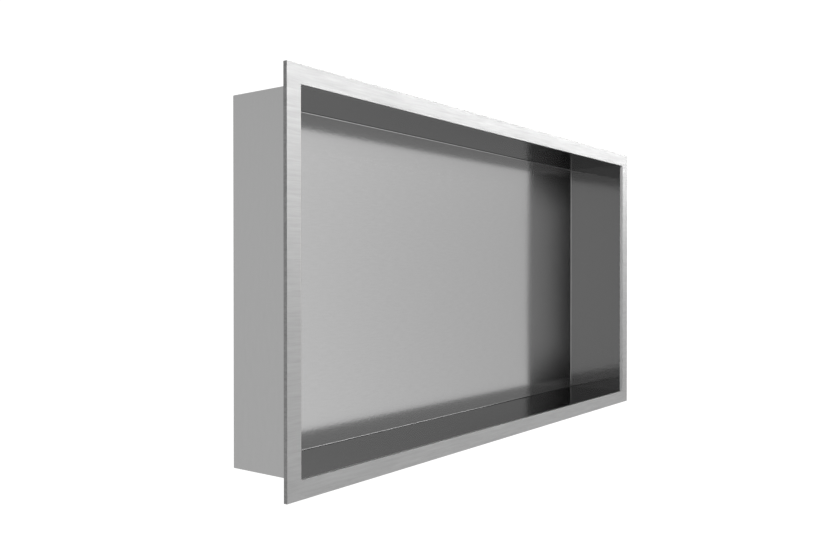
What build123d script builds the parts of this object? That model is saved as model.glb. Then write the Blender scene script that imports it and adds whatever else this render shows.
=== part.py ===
from build123d import *
import os

# Shower niche insert: a stainless steel tray that is set into a wall with its mouth to the front,
# and a flat flange round the mouth that covers the edge of the wall's cut-out.
# X runs along the width, Y into the wall and Z up, in millimetres. The origin is the centre of the
# mouth, in the plane where the back of the flange lies on the finished wall.

# Driving dimensions
mouth_width = 605.0  # clear opening from side wall to side wall
mouth_height = 300.0  # clear opening from floor to roof
niche_depth = 75.8  # front of the flange to the inside of the back
flange_margin = 15.1  # how far the flange reaches past the mouth on every side
flange_thickness = 3.7
sheet_thickness = 0.8  # walls and back of the tray
bend_radius = 0.8  # inside radius where the walls fold up from the back
weld_radius = 1.0  # dressed weld between the tray and the back of the flange
edge_radius = 0.3  # dressed edges of the flange

# Sizes that follow
flange_width = mouth_width + 2 * flange_margin
flange_height = mouth_height + 2 * flange_margin
tray_width = mouth_width + 2 * sheet_thickness
tray_height = mouth_height + 2 * sheet_thickness
tray_depth = niche_depth + sheet_thickness - flange_thickness  # wall plane to the outside of the back
fold_radius = bend_radius + sheet_thickness  # the same bends, on the outside of the tray

# Both planes face out of the wall
wall_plane = Plane.XZ
front_plane = wall_plane.offset(flange_thickness)

os.makedirs("parts", exist_ok=True)

with BuildPart() as niche_insert:
    # Flange, a flat plate in front of the wall, with its edges dressed
    with BuildSketch(wall_plane) as flange_outline:
        Rectangle(flange_width, flange_height)
    extrude(amount=flange_thickness)
    fillet(edges().filter_by(Axis.Y, reverse=True), radius=edge_radius)

    # Tray behind the flange, solid for now, with rounded folds along its back
    with BuildSketch(wall_plane) as tray_outline:
        Rectangle(tray_width, tray_height)
    extrude(amount=-tray_depth)
    outside_of_back = faces().sort_by(Axis.Y)[-1]
    fillet(outside_of_back.edges(), radius=fold_radius)

    # Weld in the corner between the tray and the back of the flange
    back_of_flange = faces().filter_by(Axis.Y).group_by(Axis.Y)[1].sort_by(SortBy.AREA)[-1]
    fillet(back_of_flange.inner_wires().edges(), radius=weld_radius)

    # Inside of the niche, cut through the flange and down to the back, which leaves the sheet
    with BuildSketch(front_plane) as mouth_outline:
        Rectangle(mouth_width, mouth_height)
    extrude(amount=-niche_depth, mode=Mode.SUBTRACT)
    inside_of_back = faces().filter_by(Axis.Y).group_by(Axis.Y)[-2].sort_by(SortBy.AREA)[-1]
    fillet(inside_of_back.edges(), radius=bend_radius)

    # Rim of the mouth, dressed like the flange's other edges
    front_of_flange = faces().filter_by(Axis.Y).sort_by(Axis.Y)[0]
    fillet(front_of_flange.inner_wires().edges(), radius=edge_radius)

niche_insert.part.label = "niche_insert"
export_step(niche_insert.part, "parts/niche_insert.step")

print("flange", flange_width, "x", flange_height, "mm, tray reaches", round(tray_depth, 1), "mm behind the wall")
print("volume", round(niche_insert.part.volume), "mm3, faces", len(niche_insert.part.faces()))
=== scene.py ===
import bpy
import math
import numpy as np
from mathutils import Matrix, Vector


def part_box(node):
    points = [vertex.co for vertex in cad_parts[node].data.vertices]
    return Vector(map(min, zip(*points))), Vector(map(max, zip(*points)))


# Shower niche insert, one piece of stainless steel: a brushed flange round the mouth of a satin tray.
# Metres, X along the width, Y into the wall, Z up, the flange's back in the plane Y = 0.

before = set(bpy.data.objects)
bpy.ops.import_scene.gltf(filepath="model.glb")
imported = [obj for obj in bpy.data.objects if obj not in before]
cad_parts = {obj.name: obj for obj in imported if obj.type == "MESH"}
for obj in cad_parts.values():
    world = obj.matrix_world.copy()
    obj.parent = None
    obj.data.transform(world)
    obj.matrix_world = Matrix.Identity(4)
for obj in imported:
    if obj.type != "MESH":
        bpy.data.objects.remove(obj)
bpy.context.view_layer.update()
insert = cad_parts["niche_insert"]
lowCorner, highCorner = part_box("niche_insert")
print("frame loaded,", len(insert.data.polygons), "triangles in the insert")


# a node with its settings, and its sockets set by name or number or fed by another node's socket
def addNode(tree, kind, settings=None, sockets=None):
    node = tree.nodes.new("ShaderNode" + kind)
    for name, value in (settings or {}).items():
        setattr(node, name, value)
    for name, value in (sockets or {}).items():
        if isinstance(value, bpy.types.NodeSocket):
            tree.links.new(value, node.inputs[name])
        else:
            node.inputs[name].default_value = value
    return node


def grey(level):
    return (level, level, level, 1.0)


def newMaterial(name):
    material = bpy.data.materials.new(name)
    material.use_nodes = True
    material.node_tree.nodes.clear()
    return material, material.node_tree


def mathNode(tree, operation, first, second=0.0):
    return addNode(tree, "Math", {"operation": operation}, {0: first, 1: second}).outputs["Value"]


# value between fromLow and fromHigh carried over to the range from low to high
def ramp(tree, value, low, high, fromLow=0.0, fromHigh=1.0, kind="LINEAR"):
    node = addNode(tree, "MapRange", {"interpolation_type": kind}, {
        "Value": value, "From Min": fromLow, "From Max": fromHigh, "To Min": low, "To Max": high})
    return node.outputs["Result"]


# Object coordinates as sockets X, Y and Z
def objectPlace(tree):
    place = addNode(tree, "TexCoord").outputs["Object"]
    return addNode(tree, "SeparateXYZ", sockets={0: place}).outputs


noiseLook = {
    "roughness": 0.6,
    "span": (0.3, 0.7),  # most of its values lie in here
}


# noise from 0 to 1 on Object coordinates, with the size of a mark along X, Y and Z
def markNoise(tree, markSize, detail):
    place = addNode(tree, "TexCoord").outputs["Object"]
    scale = [1.0 / size for size in markSize]
    spread = addNode(tree, "Mapping", sockets={"Vector": place, "Scale": scale})
    noise = addNode(tree, "TexNoise", sockets={
        "Vector": spread.outputs["Vector"], "Scale": 1.0,
        "Detail": detail, "Roughness": noiseLook["roughness"]})
    return noise.outputs["Fac"]


# value that follows the marks, from middle - variation to middle + variation
def varied(tree, marks, middle, variation):
    return ramp(tree, marks, middle - variation, middle + variation, *noiseLook["span"])


# direction across a grain that runs along X: up the walls, and inwards on the roof and floor
def acrossGrain(tree):
    return addNode(tree, "CombineXYZ", sockets={"X": 0.0, "Y": 0.05, "Z": 1.0}).outputs["Vector"]


# the steel itself, with what differs from finish to finish
def steelSurface(tree, sockets):
    steel = addNode(tree, "BsdfPrincipled", sockets={"Metallic": 1.0, **sockets})
    addNode(tree, "OutputMaterial", sockets={"Surface": steel.outputs["BSDF"]})


flangeLook = {
    "steel": 0.39,
    "steelVariation": 0.025,
    "roughness": 0.495,
    "roughnessVariation": 0.06,
    "spreadAcrossGrain": 0.9,
    "longMark": (0.060, 0.004, 0.0030),
    "fineMark": (0.020, 0.001, 0.0008),
    "bump": 0.035,
    "bumpHeight": 0.0003,
}


# brushed steel, grain along X: the reflection is spread across the grain
def brushedFlange():
    look = flangeLook
    material, tree = newMaterial("brushedFlange")
    longMarks = markNoise(tree, look["longMark"], detail=3.0)
    fineMarks = markNoise(tree, look["fineMark"], detail=2.0)
    marks = mathNode(tree, "MULTIPLY", mathNode(tree, "ADD", longMarks, fineMarks), 0.5)
    bump = addNode(tree, "Bump", sockets={
        "Height": marks, "Strength": look["bump"], "Distance": look["bumpHeight"]})
    steelSurface(tree, {
        "Base Color": varied(tree, marks, look["steel"], look["steelVariation"]),
        "Roughness": varied(tree, marks, look["roughness"], -look["roughnessVariation"]),
        "Normal": bump.outputs["Normal"],
        "Anisotropic": look["spreadAcrossGrain"], "Tangent": acrossGrain(tree)})
    return material


mouthHalf = (0.3025, 0.150)  # half the clear opening, along X and Z

satinLook = {
    "steel": 0.465,
    "steelVariation": 0.01,
    "edgeTint": 0.38,
    "roughness": 0.12,
    "roughnessVariation": 0.01,
    "sideWalls": 0.5,  # their share of that roughness
    "spreadAcrossGrain": 0.5,
    "mark": (0.012, 0.012, 0.0012),
    "ripple": (0.003, 0.003, 0.003),
    "rippleHeight": 0.00003,
    "dish": (0.034, 0.030),  # slope along X and Z at the folds: the back is shaded as if faintly hollow
    "sideDish": 0.3,  # share of the slope along Z on the side walls
    "backStart": 0.0718,
    "mouthBlend": 0.0001,
    "sideStart": 0.3015,  # past this on either side the plate's edge is brushed, and its colour carries painted light
    # partly the brushed edge's steel, partly painted light: set well above the steel's colour to stand in for
    # the light these edges catch
    "sideSteelAndLight": 0.80,
    "sideRoughness": 0.9,
    "longSteel": 0.43,  # along the top and bottom it is nearly as smooth as the tray
    "longRoughness": 0.3,
}


# height of a hollow that is flat in the middle and has the given slope at its end
def dish(tree, place, end, slope):
    return mathNode(tree, "MULTIPLY", mathNode(tree, "MULTIPLY", place, place), 0.5 * slope / end)


# satin steel inside the tray, with the plate's edge in front of the wall plane
def satinTray():
    look = satinLook
    material, tree = newMaterial("satinTray")
    marks = markNoise(tree, look["mark"], detail=3.0)
    ripple = markNoise(tree, look["ripple"], detail=2.0)
    place = objectPlace(tree)
    inTray = ramp(tree, place["Y"], 0.0, 1.0, -look["mouthBlend"], look["mouthBlend"])
    onSide = mathNode(tree, "GREATER_THAN", mathNode(tree, "ABSOLUTE", place["X"]), look["sideStart"])
    onBack = mathNode(tree, "GREATER_THAN", place["Y"], look["backStart"])

    trayColour = varied(tree, marks, look["steel"], look["steelVariation"])
    trayRough = mathNode(tree, "MULTIPLY", varied(tree, marks, look["roughness"], look["roughnessVariation"]),
                         ramp(tree, onSide, 1.0, look["sideWalls"]))
    # painted light on the plate's side edges in the mouth, the steel's own colour along the top and bottom
    edgeColour = ramp(tree, onSide, look["longSteel"], look["sideSteelAndLight"])
    edgeRough = ramp(tree, onSide, look["longRoughness"], look["sideRoughness"])

    # hollow along X on the back only, along Z on the back and a little on the side walls
    alongX = mathNode(tree, "MULTIPLY", dish(tree, place["X"], mouthHalf[0], look["dish"][0]), onBack)
    share = mathNode(tree, "ADD", onBack, mathNode(tree, "MULTIPLY", onSide, look["sideDish"]))
    alongZ = mathNode(tree, "MULTIPLY", dish(tree, place["Z"], mouthHalf[1], look["dish"][1]), share)
    height = mathNode(tree, "ADD", mathNode(tree, "MULTIPLY", ripple, look["rippleHeight"]),
                      mathNode(tree, "ADD", alongX, alongZ))
    bump = addNode(tree, "Bump", sockets={"Height": height, "Strength": 1.0, "Distance": 1.0})
    steelSurface(tree, {
        "Base Color": ramp(tree, inTray, edgeColour, trayColour),
        "Roughness": ramp(tree, inTray, edgeRough, trayRough),
        "Specular Tint": grey(look["edgeTint"]), "Normal": bump.outputs["Normal"],
        "Anisotropic": look["spreadAcrossGrain"], "Tangent": acrossGrain(tree)})
    return material


foldLook = {
    "steel": 0.43,
    "steelVariation": 0.01,
    "edgeTint": 0.38,
    "roughness": 0.17,
    "mark": (0.012, 0.012, 0.012),
    "bottomPaintedShade": 0.62,  # of that steel along the bottom fold: painted shade, darker there to dim the lamp's reflection
    "bottomShadeEdge": (-0.149, -0.147),
}


# folds between the walls and the back, smoother than the walls' outside, with painted shade along the bottom
# fold
def polishedFold():
    look = foldLook
    material, tree = newMaterial("polishedFold")
    marks = markNoise(tree, look["mark"], detail=2.0)
    # painted shade: the fold's colour falls along the bottom, to dim its reflection of the lamp
    share = ramp(tree, objectPlace(tree)["Z"], look["bottomPaintedShade"], 1.0, *look["bottomShadeEdge"])
    colour = varied(tree, marks, look["steel"], look["steelVariation"])
    steelSurface(tree, {
        "Base Color": mathNode(tree, "MULTIPLY", colour, share), "Roughness": look["roughness"],
        "Specular Tint": grey(look["edgeTint"])})
    return material


millLook = {
    "steel": 0.385,
    "steelVariation": 0.012,
    "edgeTint": 0.38,
    "roughness": 0.38,
    "roughnessVariation": 0.03,
    "mark": (0.015, 0.004, 0.015),
}


# plain rolled steel on the outside of the tray
def millOutside():
    look = millLook
    material, tree = newMaterial("millOutside")
    marks = markNoise(tree, look["mark"], detail=3.0)
    steelSurface(tree, {
        "Base Color": varied(tree, marks, look["steel"], look["steelVariation"]),
        "Roughness": varied(tree, marks, look["roughness"], look["roughnessVariation"]),
        "Specular Tint": grey(look["edgeTint"])})
    return material


cutLook = {
    "steel": 0.225,
    "steelVariation": 0.03,
    "roughness": 0.5,
    "mark": (0.002, 0.004, 0.002),
}


# cut edge round the outside of the flange, duller than its face
def cutEdge():
    look = cutLook
    material, tree = newMaterial("cutEdge")
    marks = markNoise(tree, look["mark"], detail=2.0)
    steelSurface(tree, {
        "Base Color": varied(tree, marks, look["steel"], look["steelVariation"]),
        "Roughness": look["roughness"]})
    return material


regionRule = {
    "flangeMargin": 0.0151,  # flange outline to the mouth
    "sheet": 0.0008,  # thickness of the walls and back
    "bend": 0.0008,  # inside radius of the folds
    "slack": 0.0002,
    "edgeFacing": 0.5,  # a cut edge's normal has less than this along Y
    "backFacing": 0.99,  # the flat back's normal has more than this along Y
}


# finish of each face by its place: flange in front of the wall plane, tray inside and outside behind it
def dressInsert():
    rule = regionRule
    mesh = insert.data
    faceCount = len(mesh.polygons)
    centre = np.zeros(faceCount * 3)
    mesh.polygons.foreach_get("center", centre)
    centre = centre.reshape(-1, 3)
    normal = np.zeros(faceCount * 3)
    mesh.polygons.foreach_get("normal", normal)
    facing = np.abs(normal.reshape(-1, 3)[:, 1])
    sideways = np.abs(centre[:, 0])
    upward = np.abs(centre[:, 2])
    halfMouthX = highCorner.x - rule["flangeMargin"]
    halfMouthZ = highCorner.z - rule["flangeMargin"]

    onFlange = centre[:, 1] < rule["slack"]
    onRim = (sideways > highCorner.x - rule["slack"]) | (upward > highCorner.z - rule["slack"])
    inMouth = (sideways < halfMouthX + rule["slack"]) & (upward < halfMouthZ + rule["slack"])
    behindBack = centre[:, 1] > highCorner.y - 0.5 * rule["sheet"]
    foldStart = highCorner.y - rule["sheet"] - rule["bend"]
    finish = np.where(onFlange, 0, np.where(inMouth & ~behindBack, 1, 2))
    finish[onFlange & onRim & (facing < rule["edgeFacing"])] = 3
    finish[(finish == 1) & (centre[:, 1] > foldStart) & (facing < rule["backFacing"])] = 4

    mesh.materials.clear()
    for material in (brushedFlange(), satinTray(), millOutside(), cutEdge(), polishedFold()):
        mesh.materials.append(material)
    mesh.polygons.foreach_set("material_index", finish.astype(np.int32))
    mesh.update()
    print("faces by finish: flange, tray, outside, cut edge, folds", np.bincount(finish, minlength=5))


dressInsert()

stageLook = {
    "drop": 0.85,  # floor below the insert, which hangs on a wall in use
    "radius": 2.0,
    "sides": 96,
    "pale": 0.80,
    "glow": 0.70,
}


# pale floor: a flat disc, lit like the rest, with a glow of its own so that it looks white to the camera
# and in the steel
def layFloor():
    look = stageLook
    angle = np.linspace(0.0, 2.0 * math.pi, look["sides"], endpoint=False)
    height = np.full(look["sides"], lowCorner.z - look["drop"])
    points = np.column_stack([look["radius"] * np.cos(angle), look["radius"] * np.sin(angle), height])
    mesh = bpy.data.meshes.new("floor")
    mesh.from_pydata(points.tolist(), [], [tuple(range(look["sides"]))])
    floor = bpy.data.objects.new("floor", mesh)
    bpy.context.scene.collection.objects.link(floor)
    material, tree = newMaterial("paleFloor")
    rays = addNode(tree, "LightPath").outputs
    seen = mathNode(tree, "MAXIMUM", rays["Is Camera Ray"],
                    mathNode(tree, "MAXIMUM", rays["Is Glossy Ray"], rays["Is Transmission Ray"]))
    matte = addNode(tree, "BsdfDiffuse", sockets={"Color": grey(look["pale"])})
    glow = addNode(tree, "Emission", sockets={
        "Color": grey(1.0), "Strength": mathNode(tree, "MULTIPLY", seen, look["glow"])})
    both = addNode(tree, "AddShader", sockets={0: matte.outputs["BSDF"], 1: glow.outputs["Emission"]})
    addNode(tree, "OutputMaterial", sockets={"Surface": both.outputs["Shader"]})
    mesh.materials.append(material)


layFloor()

flagLook = {
    "place": (-0.78662, -0.46808, -0.008),  # just behind the camera
    "faces": 26.38,  # azimuth, to the tray's far corner
    "left": 0.02,
    "right": (0.115, 0.22),  # at the waist, and at the top and bottom
    "waist": 0.165,  # half its height
    "reach": 0.28,  # half the flag's height
    "dark": 0.03,
}


# dark flag behind the camera, which the tray's far corner mirrors: a flat outline with a straight waist,
# wider to the top and bottom on its right, hidden from the camera and seen only in the steel
def standFlag():
    look = flagLook
    azimuth = math.radians(look["faces"])
    across = np.array([math.sin(azimuth), -math.cos(azimuth), 0.0])  # to the camera's right
    up = np.array([0.0, 0.0, 1.0])
    waist, end = look["right"]
    sideways = np.array([-look["left"], end, waist, waist, end, -look["left"]])
    upward = np.array([-look["reach"], -look["reach"], -look["waist"],
                       look["waist"], look["reach"], look["reach"]])
    points = np.array(look["place"]) + sideways[:, None] * across + upward[:, None] * up
    mesh = bpy.data.meshes.new("flag")
    mesh.from_pydata(points.tolist(), [], [tuple(range(len(points)))])
    flag = bpy.data.objects.new("flag", mesh)
    bpy.context.scene.collection.objects.link(flag)
    material, tree = newMaterial("darkCloth")
    cloth = addNode(tree, "BsdfDiffuse", sockets={"Color": grey(look["dark"])})
    addNode(tree, "OutputMaterial", sockets={"Surface": cloth.outputs["BSDF"]})
    mesh.materials.append(material)
    flag.visible_camera = False


standFlag()
print("floor and flag in place")

roomLook = {
    "level": 1.08,  # round the horizon and below
    "highLevel": 0.25,  # overhead
    "bandEdge": (0.33, 0.50),  # sine of the elevation where the level starts and ends its fall
    "dimAzimuth": -155.0,  # the camera's side of the room is dimmer, and most of all above and below eye level
    "dimLevel": 0.70,
    "dimHighLevel": 0.50,
    "dimBandEdge": (0.06, 0.16),
    "dimEdge": (0.45, 0.97),  # cosine of the angle to that side
    "rightAzimuth": -20.0,  # so is the front's right corner, a little
    "rightLevel": 0.80,
    "rightEdge": (0.90, 0.99),
}


# room: white all round the horizon, with two dimmer sides in front, dim overhead
def lightRoom():
    look = roomLook
    world = bpy.data.worlds.new("room")
    bpy.context.scene.world = world
    world.use_nodes = True
    tree = world.node_tree
    tree.nodes.clear()
    way = addNode(tree, "TexCoord").outputs["Generated"]
    upward = addNode(tree, "SeparateXYZ", sockets={0: way}).outputs["Z"]
    steep = mathNode(tree, "ABSOLUTE", upward)

    def towards(side):  # 0 to 1, rising to that side of the room
        azimuth = math.radians(look[side + "Azimuth"])
        facing = addNode(tree, "VectorMath", {"operation": "DOT_PRODUCT"}, {
            0: way, 1: (math.cos(azimuth), math.sin(azimuth), 0.0)}).outputs["Value"]
        return ramp(tree, facing, 0.0, 1.0, *look[side + "Edge"], kind="SMOOTHSTEP")

    band = ramp(tree, upward, look["level"], look["highLevel"], *look["bandEdge"], kind="SMOOTHSTEP")
    dimBand = ramp(tree, steep, look["dimLevel"], look["dimHighLevel"], *look["dimBandEdge"], kind="SMOOTHSTEP")
    dimShare = ramp(tree, towards("dim"), 1.0, dimBand)
    rightShare = ramp(tree, towards("right"), 1.0, look["rightLevel"])
    level = mathNode(tree, "MULTIPLY", band, mathNode(tree, "MULTIPLY", dimShare, rightShare))
    back = addNode(tree, "Background", sockets={"Color": grey(1.0), "Strength": level})
    addNode(tree, "OutputWorld", sockets={"Surface": back.outputs["Background"]})


lightRoom()

stripLook = {
    "place": (0.55, -0.25, 0.35),
    "size": (1.8, 0.20),
    "radiance": 6.4,
    "tilt": 80.0,
}


# long softbox above the front, parallel to the flange
def hangStrip():
    look = stripLook
    length, height = look["size"]
    lamp = bpy.data.lights.new("strip", "AREA")
    lamp.shape = "RECTANGLE"
    lamp.size = length
    lamp.size_y = height
    lamp.energy = look["radiance"] * math.pi * length * height
    strip = bpy.data.objects.new("strip", lamp)
    strip.location = look["place"]
    strip.rotation_euler = (math.radians(look["tilt"]), 0.0, 0.0)
    strip.visible_camera = False
    bpy.context.scene.collection.objects.link(strip)


hangStrip()
print("room and softbox lit")

cameraLook = {
    "lens": 36.0,
    "sensor": 36.0,
    "nearest": 0.01,
    "place": (-0.75973, -0.45475, 0.00712),
    "turn": -53.432,  # about Z, from looking along +Y
    "tip": -0.461,  # below level
}


def placeCamera():
    look = cameraLook
    lens = bpy.data.cameras.new("camera")
    lens.lens = look["lens"]
    lens.sensor_width = look["sensor"]
    lens.sensor_fit = "HORIZONTAL"
    lens.clip_start = look["nearest"]
    camera = bpy.data.objects.new("camera", lens)
    camera.location = look["place"]
    camera.rotation_euler = (math.radians(90.0 + look["tip"]), 0.0, math.radians(look["turn"]))
    bpy.context.scene.collection.objects.link(camera)
    bpy.context.scene.camera = camera


placeCamera()
bpy.context.scene.view_settings.view_transform = "Standard"
print("camera placed")
